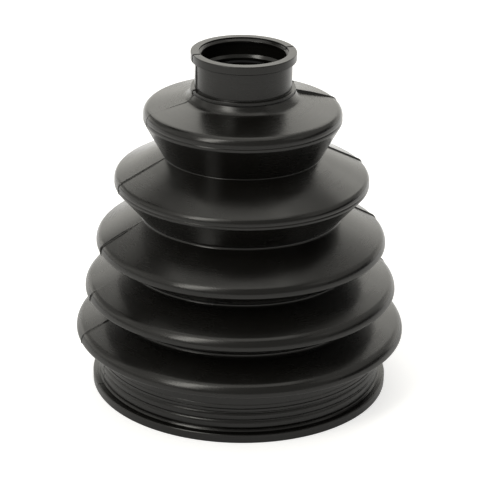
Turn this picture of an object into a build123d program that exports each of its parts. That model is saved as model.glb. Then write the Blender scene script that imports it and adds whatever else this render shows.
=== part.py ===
from build123d import *
import os

# Rubber bellows boot for a drive-shaft joint, moulded in one piece.
#
# A large collar clamps round the joint housing, a small collar clamps on the shaft, and
# five folds between them let the joint bend. The folds shrink towards the shaft.
# Millimetres, +Z up along the shaft. The origin is the centre of the large end's face.

# --- folds ---
# One value for each fold, from the large end to the small end.
wall = 2.2                                      # rubber thickness all along the folds
crest_radii = [50.4, 47.5, 44.0, 38.4, 29.7]    # outer radius of each rim
valley_radii = [38.1, 34.3, 30.4, 24.1]         # outer radius of each crease between folds
flanks_below = [2.2, 5.2, 6.1, 9.2, 10.5]       # height of the flank under each rim
rim_heights = [2.8, 2.6, 2.5, 2.6, 3.5]         # height of the upright band round each rim
flanks_above = [5.6, 6.3, 7.4, 7.2, 3.0]        # height of the flank over each rim
foot_roundings = [0.8, 0.8, 0.6, 0.6, 0.8]      # crease at the foot of each fold
rim_edge_roundings = [0.8, 0.8, 0.9, 0.9, 1.0]  # lower edge of each rim
crown_roundings = [3.3, 3.2, 2.8, 3.2, 3.4]     # upper edge of each rim

# --- large collar, clamped round the joint housing ---
large_bore_radius = 41.0
large_bore_lead_in = 0.6        # cone at the mouth of the bore
large_collar_wall = 2.5
large_collar_height = 15.0      # from the end face to the first fold
flange_overhang = 2.0           # end flange, keeps the clamp band from sliding off
flange_height = 2.7
flange_rounding = 0.4
band_seat_stretch = 7.6         # ribbed band seat, from the flange to the seat line
seat_line_radius = 0.18         # fine groove that ends the band seat
grip_groove_count = 3           # grooves that leave the grip ribs between them
grip_groove_radius = 0.35
grip_groove_pitch = 2.8
grip_groove_offset = 0.65       # from the flange up to the lowest groove
seal_groove_count = 2           # grooves in the bore that leave the sealing lands
seal_groove_width = 1.6
seal_groove_depth = 0.5
seal_groove_pitch = 3.4
seal_groove_offset = 4.5        # from the end face up to the middle of the lowest groove

# --- small collar, clamped on the shaft ---
small_bore_radius = 12.5
rim_step = 0.3                  # straight edge at the rim's mouth
rim_lead_in = 0.6               # height of the cone from that edge down to the bore
rim_flare = 0.75                # how much wider than the bore the mouth is
bore_land_height = 0.6          # land under the cone
bore_groove_height = 3.7        # groove between the land and the bead
bore_groove_depth = 0.6
bead_height = 0.8               # bead that snaps into the shaft's groove
bead_slope = 0.9                # height of each sloping side of the bead
band_seat_wall = 1.35           # rubber between the bore's groove and the band seat
band_seat_height = 7.6
lip_overhang = 1.25             # end lip, keeps the clamp band from sliding off
lip_height = 2.5
lip_bevel = 0.8                 # height of the cone under the lip
lip_rounding = 0.3
shoulder_overhang = 1.2         # ring under the band seat
shoulder_height = 1.2
shoulder_rounding = 0.25
neck_height = 2.2               # conical neck between the shoulder and the last fold
neck_foot_spread = 1.7          # how much wider the neck is at the last fold
throat_rounding = 3.5           # hollow where the neck meets the last fold

# Radii that follow from the bores.
large_collar_radius = large_bore_radius + large_collar_wall
flange_radius = large_collar_radius + flange_overhang
groove_radius = small_bore_radius + bore_groove_depth
neck_radius = groove_radius + wall
neck_foot_radius = neck_radius + neck_foot_spread
band_seat_radius = groove_radius + band_seat_wall
shoulder_radius = band_seat_radius + shoulder_overhang
lip_radius = band_seat_radius + lip_overhang

# Heights, added up from the end face.
seat_line_height = flange_height + band_seat_stretch
fold_base = large_collar_height
fold_top = fold_base + sum(flanks_below) + sum(rim_heights) + sum(flanks_above)
shoulder_bottom = fold_top + neck_height
seat_bottom = shoulder_bottom + shoulder_height
seat_top = seat_bottom + band_seat_height
lip_bottom = seat_top + lip_bevel
boot_height = lip_bottom + lip_height
lead_in_top = boot_height - rim_step
land_top = lead_in_top - rim_lead_in
groove_top = land_top - bore_land_height
groove_bottom = groove_top - bore_groove_height
bead_top = groove_bottom - bead_slope
bead_bottom = bead_top - bead_height

# Outer corners of the folds and the neck from the large collar up, and their roundings.
fold_corners = []
fold_roundings = []
height = fold_base
for foot, crest, below, rim, above, foot_rounding, rim_edge, crown in zip(
    [large_collar_radius] + valley_radii,
    crest_radii,
    flanks_below,
    rim_heights,
    flanks_above,
    foot_roundings,
    rim_edge_roundings,
    crown_roundings,
):
    rim_bottom = height + below
    rim_top = rim_bottom + rim
    fold_corners += [(foot, height), (crest, rim_bottom), (crest, rim_top)]
    fold_roundings += [foot_rounding, rim_edge, crown]
    height = rim_top + above
fold_corners += [(neck_foot_radius, fold_top), (neck_radius, shoulder_bottom)]
fold_roundings += [throat_rounding, 0]

# Outer form of the folds. It is filled past the axis and runs on inside both collars, so
# that the inset below reaches the axis and opens into both bores.
with BuildSketch(Plane.XZ) as fold_bulk:
    with BuildLine():
        fold_line = FilletPolyline(
            (large_collar_radius, fold_base - wall),
            *fold_corners,
            (neck_radius, seat_bottom),
            radius=fold_roundings,
        )
        Polyline(
            fold_line @ 1,
            (-wall, seat_bottom),
            (-wall, fold_base - wall),
            fold_line @ 0,
        )
    make_face()

# The hollow that leaves a wall of one thickness all along the folds.
with BuildSketch(Plane.XZ) as cavity:
    add(fold_bulk.sketch)
    offset(amount=-wall, kind=Kind.INTERSECTION, mode=Mode.REPLACE)

# Outer form of the large collar, filled to the axis.
with BuildSketch(Plane.XZ) as large_collar:
    with BuildLine():
        collar_line = FilletPolyline(
            (0, 0),
            (flange_radius, 0),
            (flange_radius, flange_height),
            (large_collar_radius, flange_height),
            (large_collar_radius, fold_base),
            radius=[flange_rounding, flange_rounding, 0],
        )
        Polyline(collar_line @ 1, (0, fold_base), (0, 0))
    make_face()

# Outer form of the small collar, filled to the axis.
with BuildSketch(Plane.XZ) as small_collar:
    with BuildLine():
        neck_line = FilletPolyline(
            (0, shoulder_bottom),
            (shoulder_radius, shoulder_bottom),
            (shoulder_radius, seat_bottom),
            (band_seat_radius, seat_bottom),
            (band_seat_radius, seat_top),
            (lip_radius, lip_bottom),
            (lip_radius, boot_height),
            (0, boot_height),
            radius=[shoulder_rounding, shoulder_rounding, 0, 0, lip_rounding, lip_rounding],
        )
        Line(neck_line @ 1, neck_line @ 0)
    make_face()

# The whole outer form, with the grip grooves and the seat line cut into the large collar.
with BuildSketch(Plane.XZ) as outer_form:
    add(fold_bulk.sketch)
    split(bisect_by=Plane.YZ)
    add(large_collar.sketch)
    add(small_collar.sketch)
    grip_grooves = [
        (large_collar_radius, flange_height + grip_groove_offset + step * grip_groove_pitch)
        for step in range(grip_groove_count)
    ]
    with Locations(*grip_grooves):
        Circle(grip_groove_radius, mode=Mode.SUBTRACT)
    with Locations((large_collar_radius, seat_line_height)):
        Circle(seat_line_radius, mode=Mode.SUBTRACT)

# Bore of the large collar: lead-in cone, lands and sealing grooves.
with BuildSketch(Plane.XZ) as large_bore:
    with BuildLine():
        Polyline(
            (0, 0),
            (large_bore_radius + large_bore_lead_in, 0),
            (large_bore_radius, large_bore_lead_in),
            (large_bore_radius, fold_base + wall),
            (0, fold_base + wall),
            (0, 0),
        )
    make_face()
    seal_grooves = [
        (large_bore_radius, seal_groove_offset + step * seal_groove_pitch)
        for step in range(seal_groove_count)
    ]
    with Locations(*seal_grooves):
        Rectangle(2 * seal_groove_depth, seal_groove_width)

# Bore of the small collar, from the rim down: mouth, lead-in cone, land, groove and bead.
with BuildSketch(Plane.XZ) as small_bore:
    with BuildLine():
        Polyline(
            (0, boot_height),
            (small_bore_radius + rim_flare, boot_height),
            (small_bore_radius + rim_flare, lead_in_top),
            (small_bore_radius, land_top),
            (small_bore_radius, groove_top),
            (groove_radius, groove_top),
            (groove_radius, groove_bottom),
            (small_bore_radius, bead_top),
            (small_bore_radius, bead_bottom),
            (groove_radius, bead_bottom - bead_slope),
            (groove_radius, fold_top - wall),
            (0, fold_top - wall),
            (0, boot_height),
        )
    make_face()

with BuildPart() as bellows_boot:
    with BuildSketch(Plane.XZ) as wall_section:
        add(outer_form.sketch)
        add(cavity.sketch, mode=Mode.SUBTRACT)
        add(large_bore.sketch, mode=Mode.SUBTRACT)
        add(small_bore.sketch, mode=Mode.SUBTRACT)
    revolve(axis=Axis.Z)

bellows_boot.part.label = "bellows_boot"

os.makedirs("parts", exist_ok=True)
export_step(bellows_boot.part, "parts/bellows_boot.step")
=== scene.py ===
import bpy
import numpy as np
from mathutils import Matrix, Vector


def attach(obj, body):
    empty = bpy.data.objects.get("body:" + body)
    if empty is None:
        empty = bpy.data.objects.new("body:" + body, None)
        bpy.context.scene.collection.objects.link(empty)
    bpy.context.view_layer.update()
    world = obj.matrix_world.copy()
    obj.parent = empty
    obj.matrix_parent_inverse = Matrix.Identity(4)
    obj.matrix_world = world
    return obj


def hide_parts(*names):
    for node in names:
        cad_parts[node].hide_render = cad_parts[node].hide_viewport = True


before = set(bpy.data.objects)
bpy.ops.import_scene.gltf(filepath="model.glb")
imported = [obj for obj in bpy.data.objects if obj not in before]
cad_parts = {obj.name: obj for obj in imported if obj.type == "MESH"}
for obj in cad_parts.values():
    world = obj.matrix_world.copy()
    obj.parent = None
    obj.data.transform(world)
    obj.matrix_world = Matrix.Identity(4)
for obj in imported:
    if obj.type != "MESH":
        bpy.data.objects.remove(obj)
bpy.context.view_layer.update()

# Rubber bellows boot for a drive-shaft joint, moulded in one piece. The boot stands on its
# large collar, +Z up along the shaft. Lengths are written in millimetres and turned to
# metres where a mesh, lamp or camera is made.
MM = 0.001

# --- folds, one value for each from the large end to the small end ---
WALL = 2.2  # rubber thickness all along the folds
CREST_RADII = [50.4, 47.5, 44.0, 38.4, 29.7]
VALLEY_RADII = [38.1, 34.3, 30.4, 24.1]
FLANKS_BELOW = [2.2, 5.2, 6.1, 9.2, 10.5]  # height of the flank under each rim
RIM_HEIGHTS = [2.8, 2.6, 2.5, 2.6, 3.5]
FLANKS_ABOVE = [5.6, 6.3, 7.4, 7.2, 3.0]
CROWN_ROUNDINGS = [3.3, 3.2, 2.8, 2.6, 2.4]  # upper edge of each rim
RIM_EDGE_ROUNDINGS = [0.8, 0.8, 0.9, 0.9, 1.0]  # lower edge of each rim
CREASE_ROUNDINGS = [0.8, 0.8, 0.6, 0.6, 0.2]  # crease at the foot of each fold
INNER_CREST_ROUNDING = 0.15  # least rounding inside a rim
LINED_FOLDS = [3, 4]  # folds with a fine line round the rim, counted from 0
RIM_LINE_HEIGHT = 1.0  # over the rim's lower edge
RIM_LINE_DEPTH = 0.12
RIM_LINE_WIDTH = 0.8

# --- large collar ---
LARGE_BORE_RADIUS = 41.0
LARGE_BORE_LEAD_IN = 0.6
LARGE_COLLAR_RADIUS = 43.5
LARGE_COLLAR_HEIGHT = 15.0
FLANGE_RADIUS = 45.5
FLANGE_HEIGHT = 2.7
FLANGE_ROUNDING = 0.4
FLANGE_FOOT_ROUNDING = 0.25
GRIP_GROOVE_HEIGHTS = [3.3, 6.2, 8.85]
GRIP_GROOVE_WIDTHS = [0.4, 0.6, 0.6]
GRIP_GROOVE_DEPTH = 0.4
GRIP_RIB_CROWN = 0.2  # how far a rib's edges lie under its middle
GRIP_RIB_ROUNDING = 1.0
GRIP_RIB_SHOULDER = 0.3  # share of a rib's height that either edge takes
PLAIN_SEAT_START = 0.5  # from the highest grip groove up to the plain wall
PLAIN_SEAT_ROUNDING = 0.3
SEAT_LINE_HEIGHTS = [10.3, 11.6]
SEAT_LINE_DEPTHS = [0.2, 0.06]
SEAT_LINE_WIDTHS = [0.36, 0.3]
SEAT_LINE_EDGE = 0.05
SEAL_GROOVE_HEIGHTS = [7.9, 4.5]
SEAL_GROOVE_WIDTH = 1.6
SEAL_GROOVE_DEPTH = 0.5

# --- small collar ---
SMALL_BORE_RADIUS = 12.5
BORE_GROOVE_RADIUS = 13.1
RIM_STEP = 0.45  # straight edge at the rim's mouth
MOUTH_RADIUS = 13.25
MOUTH_LIP = 0.06  # thin lip over the fine groove in the mouth
MOUTH_LIP_UNDERSIDE = 0.09  # below the rim, at the bottom of that groove
MOUTH_GROOVE_DEPTH = 0.35
MOUTH_EDGE = 0.03
RIM_LEAD_IN = 0.6
RIM_INNER_ROUNDING = 0.08
RIM_OUTER_ROUNDING = 0.25
LEAD_IN_ROUNDING = 0.05
BORE_LAND_HEIGHT = 0.6
BORE_GROOVE_HEIGHT = 3.7
BEAD_HEIGHT = 0.8
BEAD_SLOPE = 0.9
BAND_SEAT_RADIUS = 14.45
BAND_SEAT_HEIGHT = 7.6
LIP_RADIUS = 15.7
LIP_HEIGHT = 2.5
LIP_BEVEL = 0.8
LIP_UNDERCUT = 0.15  # how far the lip's underside falls towards the band seat
LIP_ROUNDING = 0.3
SHOULDER_RADIUS = 15.65
SHOULDER_HEIGHT = 1.2
SHOULDER_DRAFT = 0.08
NECK_RADIUS = 15.3
NECK_TOP_ROUNDING = 0.12
NECK_FOOT_RADIUS = 17.0
NECK_HEIGHT = 2.2
THROAT_ROUNDING = 3.5
THROAT_INNER_ROUNDING = 0.5

# --- levels, added up from the large end's face ---
FOLD_TOP = LARGE_COLLAR_HEIGHT + sum(FLANKS_BELOW) + sum(RIM_HEIGHTS) + sum(FLANKS_ABOVE)
SHOULDER_BOTTOM = FOLD_TOP + NECK_HEIGHT
SEAT_BOTTOM = SHOULDER_BOTTOM + SHOULDER_HEIGHT
LIP_BOTTOM = SEAT_BOTTOM + BAND_SEAT_HEIGHT + LIP_BEVEL
RIM_TOP = LIP_BOTTOM + LIP_HEIGHT
MOUTH_BOTTOM = RIM_TOP - RIM_STEP
LAND_TOP = MOUTH_BOTTOM - RIM_LEAD_IN
GROOVE_TOP = LAND_TOP - BORE_LAND_HEIGHT
GROOVE_BOTTOM = GROOVE_TOP - BORE_GROOVE_HEIGHT
BEAD_TOP = GROOVE_BOTTOM - BEAD_SLOPE
BEAD_BOTTOM = BEAD_TOP - BEAD_HEIGHT

# --- edges that the mould leaves nearly sharp, and fine grooves ---
CRISP_EDGE = 0.1
FINE_EDGE = 0.15
SOFT_EDGE = 0.2
GROOVE_FLOOR = 0.35  # share of a fine groove's width that its floor takes

# --- flash, the thin fin the mould's parting plane leaves down both sides ---
# Pairs of a level, up the boot, and the fin's height over the skin there. Below 0 the skin
# is split. Where the fin was torn off it is 0, and it stands highest beside a torn place.
FLASH_NEAR = [
    (0.5, 0.0), (3.5, 0.1), (15.0, 0.12),  # large collar
    (20.2, 0.2), (20.8, 0.3), (24.2, 0.26), (25.0, 0.0),  # first fold
    (30.8, 0.1), (31.6, 0.3), (33.6, 0.25), (34.4, 0.0),  # second fold, bare over its rim
    (42.0, 0.0), (45.0, 0.1), (47.5, 0.42), (48.6, 0.46), (53.2, 0.5), (54.0, 0.0),  # third
    (64.5, 0.1), (67.2, 0.2), (68.0, 0.34), (74.3, 0.3), (74.8, 0.0),  # fourth fold
    (85.5, 0.1), (88.5, 0.06), (90.0, 0.0), (90.8, 0.1),  # fifth fold
    (93.8, 0.3), (95.0, 0.2), (95.3, 0.36), (102.5, 0.36),  # neck and band seat
    (103.2, 0.1), (103.6, -0.9), (106.3, -0.9),  # split lip
]
FLASH_FAR = [
    (0.5, 0.0), (3.5, 0.1), (15.0, 0.16),  # large collar
    (33.0, 0.2), (45.0, 0.12),  # first and second fold
    (48.4, 0.26), (48.9, 0.34), (54.5, 0.34), (55.2, 0.0),  # third fold
    (66.0, 0.2), (68.0, 0.36), (74.0, 0.36), (74.7, 0.0),  # fourth fold
    (85.5, 0.2), (88.6, 0.2), (89.6, 0.3), (90.2, 0.7), (91.6, 0.8), (92.3, 0.4),  # fifth
    (93.0, 0.1), (95.0, 0.25), (102.0, 0.2),  # neck and band seat
    (104.8, 0.1), (105.6, -0.7), (106.3, -0.7),  # split lip
]
SPLIT_RUNOUT = 1.3  # from the rim down to where the split ends in the mouth
# Points across the parting plane, and what share of the fin's height or the split's depth
# each takes.
FLASH_STATIONS = [-0.35, -0.25, -0.18, -0.09, 0, 0.09, 0.18, 0.25, 0.35]
FIN_SHARES = [0, 0, 0.4, 0.95, 1, 0.95, 0.4, 0, 0]
SPLIT_SHARES = [0, 0.8, 1, 1, 1, 1, 1, 0.8, 0]

# --- mesh ---
OUTER_FACET = np.radians(11)
INNER_FACET = np.radians(24)
COARSE_FACETS = 2  # facet angles to a step on a rounding under SMALL_ROUNDING
SMALL_ROUNDING = 0.25
OUTER_SPACING = 3.2  # between the points along a run
INNER_SPACING = 1000.0  # longer than any run, so that it gets no point between its ends
RUN_END = 0.25  # from a run's end to its first point
SHORTEST_RUN = 3 * RUN_END  # a shorter run gets no points
ARC_ROOM = 0.98  # share of a run that the arcs at its two ends may take
COLUMNS_PER_HALF = 72
COLUMN_STEP = np.radians(2.45)
LEVEL_FIRST = 1000.0  # weight that finds the outermost of the topmost points
TINY = 1e-9


def fine_groove(radius, height, depth, width, edge):
    """Corners of a shallow groove in a wall, from its lower edge to its upper edge."""
    half = 0.5 * width
    return [
        (radius, height - half, edge),
        (radius - depth, height - GROOVE_FLOOR * half, 0.5 * depth),
        (radius - depth, height + GROOVE_FLOOR * half, 0.5 * depth),
        (radius, height + half, edge),
    ]


def inset(corners, distance):
    """The corners of a line moved to its left by one distance: each run is shifted along
    its normal, and neighbouring shifted runs are cut with each other."""
    corners = np.array(corners, float)
    run = np.diff(corners, axis=0)
    along = run / np.linalg.norm(run, axis=1, keepdims=True)
    left = np.stack([-along[:, 1], along[:, 0]], axis=1)
    start = corners[:-1] + distance * left
    a, b = along[:-1], along[1:]
    gap = start[1:] - start[:-1]
    cross = a[:, 0] * b[:, 1] - a[:, 1] * b[:, 0]
    reach = (gap[:, 0] * b[:, 1] - gap[:, 1] * b[:, 0]) / cross
    return start[:-1] + reach[:, None] * a


def rounded(corners, facets, spacings):
    """A closed line through corners (r, z, rounding). Each corner gives way to the arc that
    touches both its runs, in steps of about one facet angle, and each long run gets a point
    near either end and points at about one spacing between them."""
    data = np.array(corners, float)
    here, size = data[:, :2], data[:, 2]
    before = np.roll(here, 1, axis=0) - here
    after = np.roll(here, -1, axis=0) - here
    room = np.linalg.norm(after, axis=1)
    before /= np.linalg.norm(before, axis=1, keepdims=True)
    after /= room[:, None]
    half = 0.5 * np.arccos(np.clip((before * after).sum(1), -1.0, 1.0))
    reach = size / np.tan(half)
    # where two arcs would meet on a short run, both shrink until they fit
    fit = np.minimum(1.0, ARC_ROOM * room / (reach + np.roll(reach, -1) + TINY))
    reach *= np.minimum(fit, np.roll(fit, 1))
    size = reach * np.tan(half)
    middle = before + after
    middle /= np.maximum(np.linalg.norm(middle, axis=1, keepdims=True), TINY)
    centre = here + middle * (size / np.sin(half))[:, None]
    first = here + before * reach[:, None]
    last = here + after * reach[:, None]
    line = []
    for i in range(len(data)):
        turn = np.pi - 2 * half[i]
        facet = facets[i] if size[i] > SMALL_ROUNDING else COARSE_FACETS * facets[i]
        steps = max(1, int(np.ceil(turn / facet)))
        start = first[i] - centre[i]
        end = last[i] - centre[i]
        t = np.linspace(0.0, 1.0, steps + 1)[:, None] * turn
        line.append(centre[i] + (np.sin(turn - t) * start + np.sin(t) * end) / np.sin(turn))
        run = first[(i + 1) % len(data)] - last[i]
        length = np.linalg.norm(run)
        if length > SHORTEST_RUN:
            points = max(2, int(length / spacings[i]) + 1)
            stops = np.linspace(RUN_END, length - RUN_END, points)
            line.append(last[i] + run * (stops / length)[:, None])
    return np.concatenate(line)


def large_collar_line():
    """The large collar's outside: flange, grip ribs and seat lines, from the bore's edge up."""
    line = [
        (LARGE_BORE_RADIUS + LARGE_BORE_LEAD_IN, 0.0, CRISP_EDGE),
        (FLANGE_RADIUS, 0.0, FLANGE_FOOT_ROUNDING),
        (FLANGE_RADIUS, FLANGE_HEIGHT, FLANGE_ROUNDING),
        (LARGE_COLLAR_RADIUS, FLANGE_HEIGHT, CRISP_EDGE),
    ]
    rib_edge = LARGE_COLLAR_RADIUS - GRIP_RIB_CROWN
    rib_depth = GRIP_GROOVE_DEPTH - GRIP_RIB_CROWN
    grooves = [
        fine_groove(rib_edge, height, rib_depth, width, FINE_EDGE)
        for height, width in zip(GRIP_GROOVE_HEIGHTS, GRIP_GROOVE_WIDTHS)
    ]
    line += grooves[0]
    for groove_below, groove_above in zip(grooves, grooves[1:]):
        low = groove_below[-1][1]
        high = groove_above[0][1]
        shoulder = GRIP_RIB_SHOULDER * (high - low)
        line += [
            (LARGE_COLLAR_RADIUS, low + shoulder, GRIP_RIB_ROUNDING),
            (LARGE_COLLAR_RADIUS, high - shoulder, GRIP_RIB_ROUNDING),
            *groove_above,
        ]
    plain_seat = GRIP_GROOVE_HEIGHTS[-1] + PLAIN_SEAT_START
    line += [(LARGE_COLLAR_RADIUS, plain_seat, PLAIN_SEAT_ROUNDING)]
    for height, depth, width in zip(SEAT_LINE_HEIGHTS, SEAT_LINE_DEPTHS, SEAT_LINE_WIDTHS):
        line += fine_groove(LARGE_COLLAR_RADIUS, height, depth, width, SEAT_LINE_EDGE)
    return line


def fold_line(lined_folds=()):
    """The folds' outside: both edges of each rim and the crease over it, from the large
    collar up. The lined folds have a fine line round the rim."""
    height = LARGE_COLLAR_HEIGHT
    line = [(LARGE_COLLAR_RADIUS, height, CREASE_ROUNDINGS[0])]
    folds = zip(
        CREST_RADII,
        VALLEY_RADII + [NECK_FOOT_RADIUS],
        FLANKS_BELOW,
        RIM_HEIGHTS,
        FLANKS_ABOVE,
        RIM_EDGE_ROUNDINGS,
        CROWN_ROUNDINGS,
        CREASE_ROUNDINGS[1:] + [THROAT_ROUNDING],
    )
    for fold, (crest, valley, below, rim, above, edge, crown, crease) in enumerate(folds):
        low = height + below
        high = low + rim
        height = high + above
        line += [(crest, low, edge)]
        if fold in lined_folds:
            level = low + RIM_LINE_HEIGHT
            line += fine_groove(crest, level, RIM_LINE_DEPTH, RIM_LINE_WIDTH, FINE_EDGE)
        line += [(crest, high, crown), (valley, height, crease)]
    return line


def small_collar_line():
    """The small collar's outside from the neck up, over the lip and into the mouth's groove."""
    mouth_groove = MOUTH_RADIUS + MOUTH_GROOVE_DEPTH
    return [
        (NECK_RADIUS, SHOULDER_BOTTOM, NECK_TOP_ROUNDING),
        (SHOULDER_RADIUS, SHOULDER_BOTTOM + SHOULDER_DRAFT, FINE_EDGE),
        (SHOULDER_RADIUS, SEAT_BOTTOM, SOFT_EDGE),
        (BAND_SEAT_RADIUS, SEAT_BOTTOM, CRISP_EDGE),
        (BAND_SEAT_RADIUS, LIP_BOTTOM - LIP_UNDERCUT, CRISP_EDGE),
        (LIP_RADIUS, LIP_BOTTOM, LIP_ROUNDING),
        (LIP_RADIUS, RIM_TOP, RIM_OUTER_ROUNDING),
        (MOUTH_RADIUS, RIM_TOP, RIM_INNER_ROUNDING),
        (MOUTH_RADIUS, RIM_TOP - MOUTH_LIP, MOUTH_EDGE),
        (mouth_groove, RIM_TOP - MOUTH_LIP_UNDERSIDE, MOUTH_EDGE),
        (mouth_groove, MOUTH_BOTTOM, MOUTH_EDGE),
    ]


def small_bore_line():
    """The small bore from the mouth down: lead-in cone, land, groove and bead."""
    return [
        (MOUTH_RADIUS, MOUTH_BOTTOM, LEAD_IN_ROUNDING),
        (SMALL_BORE_RADIUS, LAND_TOP, FINE_EDGE),
        (SMALL_BORE_RADIUS, GROOVE_TOP, FINE_EDGE),
        (BORE_GROOVE_RADIUS, GROOVE_TOP, CRISP_EDGE),
        (BORE_GROOVE_RADIUS, GROOVE_BOTTOM, CRISP_EDGE),
        (SMALL_BORE_RADIUS, BEAD_TOP, SOFT_EDGE),
        (SMALL_BORE_RADIUS, BEAD_BOTTOM, SOFT_EDGE),
        (BORE_GROOVE_RADIUS, BEAD_BOTTOM - BEAD_SLOPE, CRISP_EDGE),
    ]


def hollow_line():
    """The hollow inside the folds, from the small bore down to the large one: the fold line
    moved in by one wall. A crest's rounding shrinks by the wall and a crease's grows by it."""
    folds = fold_line()
    path = [(LARGE_COLLAR_RADIUS, LARGE_COLLAR_HEIGHT - WALL)]
    path += [(r, z) for r, z, _ in folds]
    path += [(NECK_RADIUS, SHOULDER_BOTTOM), (NECK_RADIUS, SEAT_BOTTOM)]
    hollow = inset(path, WALL)
    line = []
    for (r, z), (outer_radius, _, rounding) in zip(hollow, folds):
        is_crest = outer_radius in CREST_RADII
        size = max(rounding - WALL, INNER_CREST_ROUNDING) if is_crest else rounding + WALL
        line.append((r, z, size))
    line.append((*hollow[-1], THROAT_INNER_ROUNDING))
    # the first run ends where it meets the large bore
    (r0, z0, _), (r1, z1, _) = line[:2]
    share = (LARGE_BORE_RADIUS - r0) / (r1 - r0)
    line[0] = (LARGE_BORE_RADIUS, z0 + share * (z1 - z0), SOFT_EDGE)
    return line[::-1]


def large_bore_line():
    """The large bore with its sealing grooves, from the hollow down to the end face."""
    deep = LARGE_BORE_RADIUS + SEAL_GROOVE_DEPTH
    line = []
    for height in SEAL_GROOVE_HEIGHTS:
        low = height - 0.5 * SEAL_GROOVE_WIDTH
        high = height + 0.5 * SEAL_GROOVE_WIDTH
        corners = [(LARGE_BORE_RADIUS, high), (deep, high), (deep, low), (LARGE_BORE_RADIUS, low)]
        line += [(*corner, CRISP_EDGE) for corner in corners]
    return line + [(LARGE_BORE_RADIUS, LARGE_BORE_LEAD_IN, CRISP_EDGE)]


def wall_section():
    """The closed line (r, z) round the boot's wall: up the outside and down the inside."""
    outside = large_collar_line() + fold_line(LINED_FOLDS) + small_collar_line()
    inside = small_bore_line() + hollow_line() + large_bore_line()
    facets = [OUTER_FACET] * len(outside) + [INNER_FACET] * len(inside)
    spacings = [OUTER_SPACING] * len(outside) + [INNER_SPACING] * len(inside)
    return rounded(outside + inside, facets, spacings)


def new_mesh(name, points, faces, body):
    """A smooth-shaded piece from an array of points in millimetres and an array of quads."""
    mesh = bpy.data.meshes.new(name)
    mesh.from_pydata((points * MM).tolist(), [], faces.tolist())
    mesh.shade_smooth()
    piece = bpy.data.objects.new(name, mesh)
    bpy.context.scene.collection.objects.link(piece)
    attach(piece, body)
    return piece


def boot_surface():
    """The boot's skin: the section (r, z) turned round the axis to (r cos a, r sin a, z).
    Close to the parting plane, on the outside, it is lifted along the section's normal by
    the flash, or sunk by the split. The flash is as high as its level tells and as wide as
    its stations are apart. They keep their distance in millimetres, so that the flash is as
    wide on a crest as in a crease."""
    section = wall_section()
    r, z = section[:, :1], section[:, 1:]
    along = np.roll(section, -1, axis=0) - np.roll(section, 1, axis=0)
    along /= np.linalg.norm(along, axis=1, keepdims=True)
    normal_r, normal_z = along[:, 1:], -along[:, :1]

    # from the lip's outer edge inwards the split sinks straight down and runs out in the mouth
    lip_edge = np.argmax(LEVEL_FIRST * z + r)
    is_inwards = (np.arange(len(section)) > lip_edge)[:, None]
    normal_r = np.where(is_inwards, 0.0, normal_r)
    normal_z = np.where(is_inwards, 1.0, normal_z)
    runout = np.clip(1 + (z - RIM_TOP) / SPLIT_RUNOUT, 0, 1)
    share = np.where(is_inwards, runout, 1.0)

    steps = COLUMN_STEP * (1 + np.arange(COLUMNS_PER_HALF))
    plain_angles = steps + 0.5 * (np.pi - steps[-1] - steps[0])
    plain_lift = np.zeros((len(section), COLUMNS_PER_HALF))
    angles, lifts = [], []
    for start, flash in ((0.0, FLASH_FAR), (np.pi, FLASH_NEAR)):
        levels, heights = np.array(flash).T
        height = np.interp(z, levels, heights) * share
        fin = np.maximum(height, 0) * np.array(FIN_SHARES)
        split = np.minimum(height, 0) * np.array(SPLIT_SHARES)
        angles += [start + np.array(FLASH_STATIONS) / r, start + plain_angles + 0 * r]
        lifts += [fin + split, plain_lift]
    a = np.concatenate(angles, axis=1)
    lift = np.concatenate(lifts, axis=1)
    radius = r + normal_r * lift
    points = np.stack([radius * np.cos(a), radius * np.sin(a), z + normal_z * lift], axis=-1)

    index = np.arange(a.size).reshape(a.shape)
    up = np.roll(index, -1, axis=0)
    quads = np.stack([index, np.roll(index, -1, axis=1), np.roll(up, -1, axis=1), up], axis=-1)
    return points.reshape(-1, 3), quads.reshape(-1, 4)


points, quads = boot_surface()
boot = new_mesh("moulded_boot", points, quads, "root")
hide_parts("bellows_boot")


# --- materials ---
RUBBER_BLACK = "#0b0a08"
RUBBER_IOR = 1.52
GLOSSY_SKIN = 0.2  # roughness of the skin where it is glossiest
DULL_SKIN = 0.31
GLOSS_PATCH = 18.0  # size of a glossier or duller patch
RING_PITCH = 0.7  # between the rings from turning the mould, coarser than real so they show
RING_GLOSS = 0.025  # how far a ring's roughness is off its patch's
RING_RELIEF = 0.002
GRAIN_SIZE = 0.35  # coarser than real too
GRAIN_RELIEF = 0.004


def linear(code):
    """An sRGB hex colour as linear red, green, blue and full opacity."""
    c = np.array([int(code[i : i + 2], 16) for i in (1, 3, 5)]) / 255
    c = np.where(c <= 0.04045, c / 12.92, ((c + 0.055) / 1.055) ** 2.4)
    return (*c.tolist(), 1.0)


def node(tree, kind, settings=None, links=None):
    """Adds a node. Settings name its own values or input sockets, links its linked inputs."""
    made = tree.nodes.new(kind)
    for key, value in (settings or {}).items():
        if isinstance(key, str) and hasattr(made, key):
            setattr(made, key, value)
        else:
            made.inputs[key].default_value = value
    for key, source in (links or {}).items():
        tree.links.new(source, made.inputs[key])
    return made


def new_material(name):
    """An empty node material and its tree."""
    material = bpy.data.materials.new(name)
    material.use_nodes = True
    material.node_tree.nodes.clear()
    return material, material.node_tree


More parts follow.
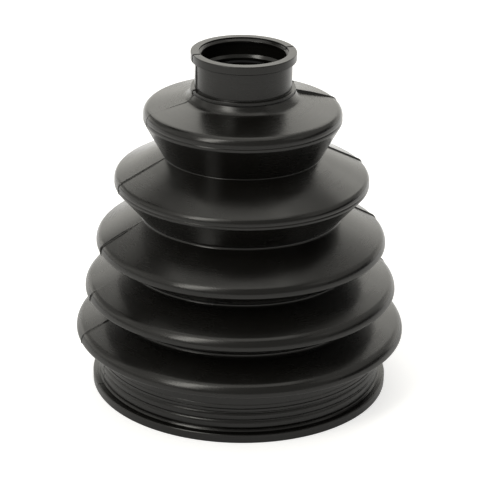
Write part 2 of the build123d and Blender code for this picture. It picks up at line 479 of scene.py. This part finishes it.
def moulded_rubber():
    """Black chloroprene rubber as the mould leaves it. Its gloss wanders in soft patches
    where the release agent lay thicker, and fine rings left by turning the mould run round
    the boot. A fine grain breaks up the edges of what it reflects."""
    material, tree = new_material("moulded_chloroprene_rubber")
    place = node(tree, "ShaderNodeTexCoord").outputs["Object"]
    # soft patches, for the skin's uneven sheen
    patches = node(
        tree,
        "ShaderNodeTexNoise",
        {"Scale": 1 / (GLOSS_PATCH * MM), "Detail": 3.0, "Roughness": 0.55},
        {"Vector": place},
    )
    # turned rings: a noise in radius and height alone, so that it runs round the boot
    axes = node(tree, "ShaderNodeSeparateXYZ", links={"Vector": place})
    squares = [
        node(tree, "ShaderNodeMath", {"operation": "POWER", 1: 2.0}, {0: axes.outputs[axis]})
        for axis in ("X", "Y")
    ]
    total = node(
        tree,
        "ShaderNodeMath",
        {"operation": "ADD"},
        {0: squares[0].outputs[0], 1: squares[1].outputs[0]},
    )
    radius = node(tree, "ShaderNodeMath", {"operation": "SQRT"}, {0: total.outputs[0]})
    ring_place = node(
        tree, "ShaderNodeCombineXYZ", links={"X": radius.outputs[0], "Z": axes.outputs["Z"]}
    )
    rings = node(
        tree,
        "ShaderNodeTexNoise",
        {"Scale": 1 / (RING_PITCH * MM), "Detail": 2.0, "Roughness": 0.5},
        {"Vector": ring_place.outputs[0]},
    )
    # fine grain of the moulded skin
    grain = node(
        tree,
        "ShaderNodeTexNoise",
        {"Scale": 1 / (GRAIN_SIZE * MM), "Detail": 2.0, "Roughness": 0.6},
        {"Vector": place},
    )
    # sheen: satin, duller in some patches and from ring to ring
    gloss = node(
        tree,
        "ShaderNodeMapRange",
        {"From Min": 0.3, "From Max": 0.7, "To Min": GLOSSY_SKIN, "To Max": DULL_SKIN},
        {"Value": patches.outputs["Fac"]},
    )
    ring_gloss = node(
        tree,
        "ShaderNodeMapRange",
        {"From Min": 0.25, "From Max": 0.75, "To Min": -RING_GLOSS, "To Max": RING_GLOSS},
        {"Value": rings.outputs["Fac"]},
    )
    roughness = node(
        tree,
        "ShaderNodeMath",
        {"operation": "ADD"},
        {0: gloss.outputs["Result"], 1: ring_gloss.outputs["Result"]},
    )
    # relief: the rings draw streaks in a reflection and the grain frays its edges
    ring_relief = node(
        tree,
        "ShaderNodeBump",
        {"Strength": 0.5, "Distance": RING_RELIEF * MM},
        {"Height": rings.outputs["Fac"]},
    )
    relief = node(
        tree,
        "ShaderNodeBump",
        {"Strength": 0.5, "Distance": GRAIN_RELIEF * MM},
        {"Height": grain.outputs["Fac"], "Normal": ring_relief.outputs["Normal"]},
    )
    shader = node(
        tree,
        "ShaderNodeBsdfPrincipled",
        {"Base Color": linear(RUBBER_BLACK), "IOR": RUBBER_IOR},
        {"Roughness": roughness.outputs[0], "Normal": relief.outputs["Normal"]},
    )
    node(tree, "ShaderNodeOutputMaterial", links={"Surface": shader.outputs["BSDF"]})
    return material


boot.data.materials.append(moulded_rubber())

# --- camera ---
PARTING_TURN = np.radians(18.0)  # how far the view is turned from square on the parting plane
ELEVATION = np.radians(23.226)
ROLL = 0.016  # radians
DISTANCE = 621.4
AIM_RIGHT = -0.24  # the point it looks at, from the boot's axis
AIM_HEIGHT = 45.47
LENS = 152.6  # this and the sensor's width stay in millimetres
SENSOR = 36.0

# directions of the view over the floor: to its right, away from it and up
right = np.array([np.cos(PARTING_TURN), -np.sin(PARTING_TURN), 0.0])
away = np.array([np.sin(PARTING_TURN), np.cos(PARTING_TURN), 0.0])
top = np.array([0.0, 0.0, 1.0])


def view_camera():
    """The camera, DISTANCE from the point it looks at and rolled about its own axis."""
    back = -np.cos(ELEVATION) * away + np.sin(ELEVATION) * top
    up = np.cross(back, right)
    aim = AIM_RIGHT * right + AIM_HEIGHT * top
    pose = np.eye(4)
    pose[:3, 0] = np.cos(ROLL) * right + np.sin(ROLL) * up
    pose[:3, 1] = np.cos(ROLL) * up - np.sin(ROLL) * right
    pose[:3, 2] = back
    pose[:3, 3] = (aim + DISTANCE * back) * MM
    data = bpy.data.cameras.new("camera")
    data.lens = LENS
    data.sensor_width = SENSOR
    data.clip_start = 0.05
    data.clip_end = 50.0
    camera = bpy.data.objects.new("camera", data)
    camera.matrix_world = Matrix(pose.tolist())
    bpy.context.scene.collection.objects.link(camera)
    bpy.context.scene.camera = camera


view_camera()

# --- floor ---
FLOOR_HALF = 4000.0
PAPER_WHITE = "#d8d8d8"
PAPER_GLOW = 0.62  # added to the lit paper for the camera, so that it comes out white
SWEEP_START = 60.0  # how far behind the axis the glow in reflections starts to rise
SWEEP_END = 350.0  # and where it stops
SWEEP_GLOW_NEAR = 0.2
SWEEP_GLOW_FAR = 0.9


def paper_sweep():
    """A white paper floor. It glows to the camera, so that it comes out white, and in
    reflections, more so behind the boot, as a lit paper sweep would. It lights nothing."""
    half = FLOOR_HALF * MM
    corners = [(-half, -half, 0), (half, -half, 0), (half, half, 0), (-half, half, 0)]
    mesh = bpy.data.meshes.new("floor")
    mesh.from_pydata(corners, [], [(0, 1, 2, 3)])
    piece = bpy.data.objects.new("floor", mesh)
    bpy.context.scene.collection.objects.link(piece)
    material, tree = new_material("white_paper_sweep")
    paper = node(
        tree,
        "ShaderNodeBsdfPrincipled",
        {"Base Color": linear(PAPER_WHITE), "Roughness": 0.9, "Specular IOR Level": 0.0},
    )
    rays = node(tree, "ShaderNodeLightPath")
    seen = node(
        tree,
        "ShaderNodeMath",
        {"operation": "MULTIPLY", 1: PAPER_GLOW},
        {0: rays.outputs["Is Camera Ray"]},
    )
    spot = node(tree, "ShaderNodeTexCoord").outputs["Object"]
    behind = node(tree, "ShaderNodeVectorMath", {"operation": "DOT_PRODUCT", 1: away}, {0: spot})
    sweep = node(
        tree,
        "ShaderNodeMapRange",
        {
            "From Min": SWEEP_START * MM,
            "From Max": SWEEP_END * MM,
            "To Min": SWEEP_GLOW_NEAR,
            "To Max": SWEEP_GLOW_FAR,
        },
        {"Value": behind.outputs["Value"]},
    )
    strength = node(
        tree,
        "ShaderNodeMath",
        {"operation": "MULTIPLY_ADD"},
        {0: rays.outputs["Is Glossy Ray"], 1: sweep.outputs["Result"], 2: seen.outputs[0]},
    )
    glow = node(tree, "ShaderNodeEmission", links={"Strength": strength.outputs[0]})
    lit = node(
        tree,
        "ShaderNodeAddShader",
        links={0: paper.outputs["BSDF"], 1: glow.outputs["Emission"]},
    )
    node(tree, "ShaderNodeOutputMaterial", links={"Surface": lit.outputs["Shader"]})
    mesh.materials.append(material)


paper_sweep()

# --- lamps and world ---
LAMP_DISTANCE = 1500.0
LAMP_CENTRE = 50.0  # height of the point that the lamps stand round
LAMP_COLOUR = (1.0, 0.98, 0.91)  # warm white
WORLD_LIGHT = 0.045


def softbox(name, side, height, width, tall, radiance):
    """A soft lamp on a sphere round the boot. Its side is turned from the view's right
    through the back, its height from the floor; both and its size are angles in degrees as
    seen from the boot."""
    side, height = np.radians(side), np.radians(height)
    out = np.cos(height) * (np.cos(side) * right + np.sin(side) * away) + np.sin(height) * top
    data = bpy.data.lights.new(name, "AREA")
    data.shape = "RECTANGLE"
    data.size = 2 * LAMP_DISTANCE * np.tan(0.5 * np.radians(width)) * MM
    data.size_y = 2 * LAMP_DISTANCE * np.tan(0.5 * np.radians(tall)) * MM
    data.energy = np.pi * data.size * data.size_y * radiance
    data.color = LAMP_COLOUR
    lamp = bpy.data.objects.new(name, data)
    bpy.context.scene.collection.objects.link(lamp)
    lamp.location = (LAMP_DISTANCE * out + LAMP_CENTRE * top) * MM
    lamp.rotation_mode = "QUATERNION"
    lamp.rotation_quaternion = Vector(-out).to_track_quat("-Z", "Y")


# behind and over the boot: the bright flanks of the folds
softbox("back_sweep", 86, 12, 106, 24, 1.3)
softbox("back_softbox", 89, 36, 58, 24, 1.95)
softbox("back_upper", 90, 60, 46, 26, 0.75)
softbox("top_softbox", 90, 90, 42, 46, 1.1)
# left: the short highlights on the rims, and what fills in round them
softbox("left_back", 149, 24, 44, 38, 0.42)
softbox("left_key", 228, 42, 15, 46, 6.5)
softbox("left_fill", 187, 44, 37, 50, 0.6)
softbox("left_low", 184, 12, 96, 24, 0.5)
# right and front: the soft tone of the rims and collars
softbox("right_softbox", 17, 38, 70, 34, 0.5)
softbox("right_upper", 17, 64, 38, 20, 0.4)
softbox("front_fill", 290, 30, 96, 60, 0.29)

world = bpy.data.worlds.new("studio")
world.use_nodes = True
world.node_tree.nodes.clear()
sky = node(
    world.node_tree,
    "ShaderNodeBackground",
    {"Color": (1, 1, 1, 1), "Strength": WORLD_LIGHT},
)
node(world.node_tree, "ShaderNodeOutputWorld", links={"Surface": sky.outputs["Background"]})
bpy.context.scene.world = world
bpy.context.scene.view_settings.view_transform = "Standard"
